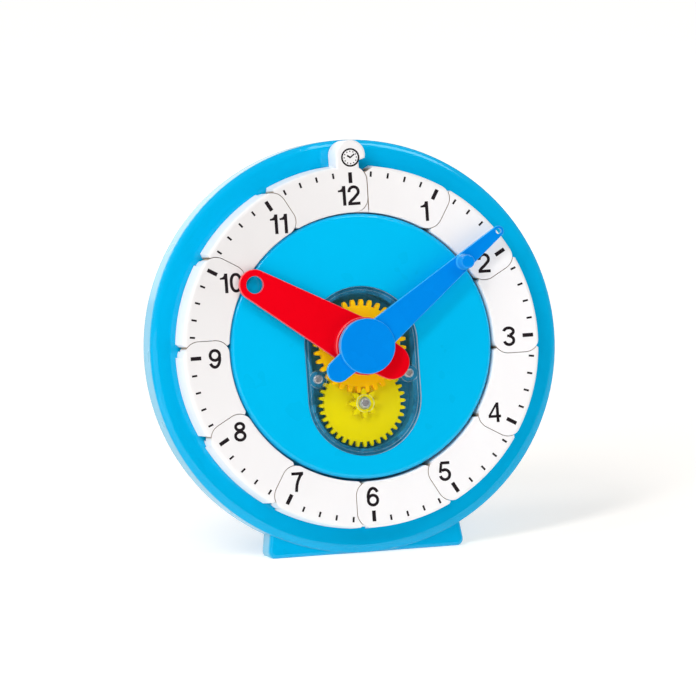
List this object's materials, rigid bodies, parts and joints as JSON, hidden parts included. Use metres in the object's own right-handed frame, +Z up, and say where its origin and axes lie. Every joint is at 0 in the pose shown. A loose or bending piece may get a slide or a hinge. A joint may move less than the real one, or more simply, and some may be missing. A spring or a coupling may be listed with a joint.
{
  "type": "geared teaching clock",
  "caption": "Free-standing classroom clock with geared hands behind a clear window and a hinged ring of number links that unrolls into a number line.",
  "frame": {"origin": "on the surface the clock stands on, in the middle of its footprint, below the hands' axis from left to right", "axes": "+Z up, +X to the reader's right, -Y towards the reader; the dial leans back 9.3 degrees"},
  "size_m": [0.23, 0.0611, 0.229],
  "materials": {
    "blue_shell": "glossy moulded sky blue",
    "white_link": "satin moulded white",
    "red_hand": "glossy red",
    "blue_hand": "glossy royal blue",
    "yellow_gear": "satin moulded yellow",
    "clear_window": "clear polished",
    "screw_steel": "zinc plated"
  },
  "bodies": {
    "clock_body": {"front_shell": "blue_shell", "rear_cover": "blue_shell", "gear_window": "clear_window", "window_screws": "screw_steel", "rear_cover_screws": "screw_steel"},
    "minute_drive": {"minute_arbor": "yellow_gear", "minute_hand": "blue_hand", "arbor_washer": "screw_steel", "arbor_screw": "screw_steel"},
    "hour_drive": {"hour_wheel": "yellow_gear", "hour_hand": "red_hand"},
    "idler": {"idler_gear": "yellow_gear"},
    "link_01": {"number_link_01": "white_link"},
    "link_02": {"number_link_02": "white_link"},
    "link_03": {"number_link_03": "white_link"},
    "link_04": {"number_link_04": "white_link"},
    "link_05": {"number_link_05": "white_link"},
    "link_06": {"number_link_06": "white_link"},
    "link_07": {"number_link_07": "white_link"},
    "link_08": {"number_link_08": "white_link"},
    "link_09": {"number_link_09": "white_link"},
    "link_10": {"number_link_10": "white_link"},
    "link_11": {"number_link_11": "white_link"},
    "link_12": {"number_link_12": "white_link"}
  },
  "joints": [
    {"name": "minute_hand_turn", "type": "hinge", "parent": "clock_body", "child": "minute_drive", "pos_m": [0, -0.01917, 0.1162], "axis": [0, 0.9869, -0.1616], "continuous": true},
    {"name": "idler_turn", "type": "hinge", "parent": "clock_body", "child": "idler", "pos_m": [0, -0.01837, 0.08395], "axis": [0, 0.9869, -0.1616], "continuous": true},
    {"name": "hour_hand_turn", "type": "hinge", "parent": "clock_body", "child": "hour_drive", "pos_m": [0, -0.01917, 0.1162], "axis": [0, 0.9869, -0.1616], "continuous": true},
    {"name": "link_01_hinge", "type": "hinge", "parent": "link_02", "child": "link_01", "pos_m": [0.04669, 0.00532, 0.19211], "axis": [0, 0.9869, -0.1616], "range_deg": [0, 30]},
    {"name": "link_02_hinge", "type": "hinge", "parent": "link_03", "child": "link_02", "pos_m": [0.08007, -0.00017, 0.15859], "axis": [0, 0.9869, -0.1616], "range_deg": [0, 30]},
    {"name": "link_03_hinge", "type": "hinge", "parent": "link_04", "child": "link_03", "pos_m": [0.092, -0.00762, 0.11309], "axis": [0, 0.9869, -0.1616], "range_deg": [0, 30]},
    {"name": "link_04_hinge", "type": "hinge", "parent": "link_05", "child": "link_04", "pos_m": [0.07927, -0.01504, 0.0678], "axis": [0, 0.9869, -0.1616], "range_deg": [0, 30]},
    {"name": "link_05_hinge", "type": "hinge", "parent": "link_06", "child": "link_05", "pos_m": [0.0453, -0.02043, 0.03486], "axis": [0, 0.9869, -0.1616], "range_deg": [0, 30]},
    {"name": "link_06_hinge", "type": "hinge", "parent": "clock_body", "child": "link_06", "pos_m": [-0.0008, -0.02236, 0.0231], "axis": [0, 0.9869, -0.1616], "range_deg": [0, 15]},
    {"name": "link_07_hinge", "type": "hinge", "parent": "clock_body", "child": "link_07", "pos_m": [-0.0008, -0.02236, 0.0231], "axis": [0, -0.9869, 0.1616], "range_deg": [0, 15]},
    {"name": "link_08_hinge", "type": "hinge", "parent": "link_07", "child": "link_08", "pos_m": [-0.04669, -0.02031, 0.03565], "axis": [0, -0.9869, 0.1616], "range_deg": [0, 30]},
    {"name": "link_09_hinge", "type": "hinge", "parent": "link_08", "child": "link_09", "pos_m": [-0.08007, -0.01482, 0.06918], "axis": [0, -0.9869, 0.1616], "range_deg": [0, 30]},
    {"name": "link_10_hinge", "type": "hinge", "parent": "link_09", "child": "link_10", "pos_m": [-0.092, -0.00737, 0.11467], "axis": [0, -0.9869, 0.1616], "range_deg": [0, 30]},
    {"name": "link_11_hinge", "type": "hinge", "parent": "link_10", "child": "link_11", "pos_m": [-0.07927, 0.00005, 0.15996], "axis": [0, -0.9869, 0.1616], "range_deg": [0, 30]},
    {"name": "link_12_hinge", "type": "hinge", "parent": "link_11", "child": "link_12", "pos_m": [-0.0453, 0.00545, 0.1929], "axis": [0, -0.9869, 0.1616], "range_deg": [0, 30]}
  ],
  "couplings": [
    {"joint": "idler_turn", "follows": "minute_hand_turn", "ratio": -0.33333},
    {"joint": "hour_hand_turn", "follows": "minute_hand_turn", "ratio": 0.083333}
  ]
}
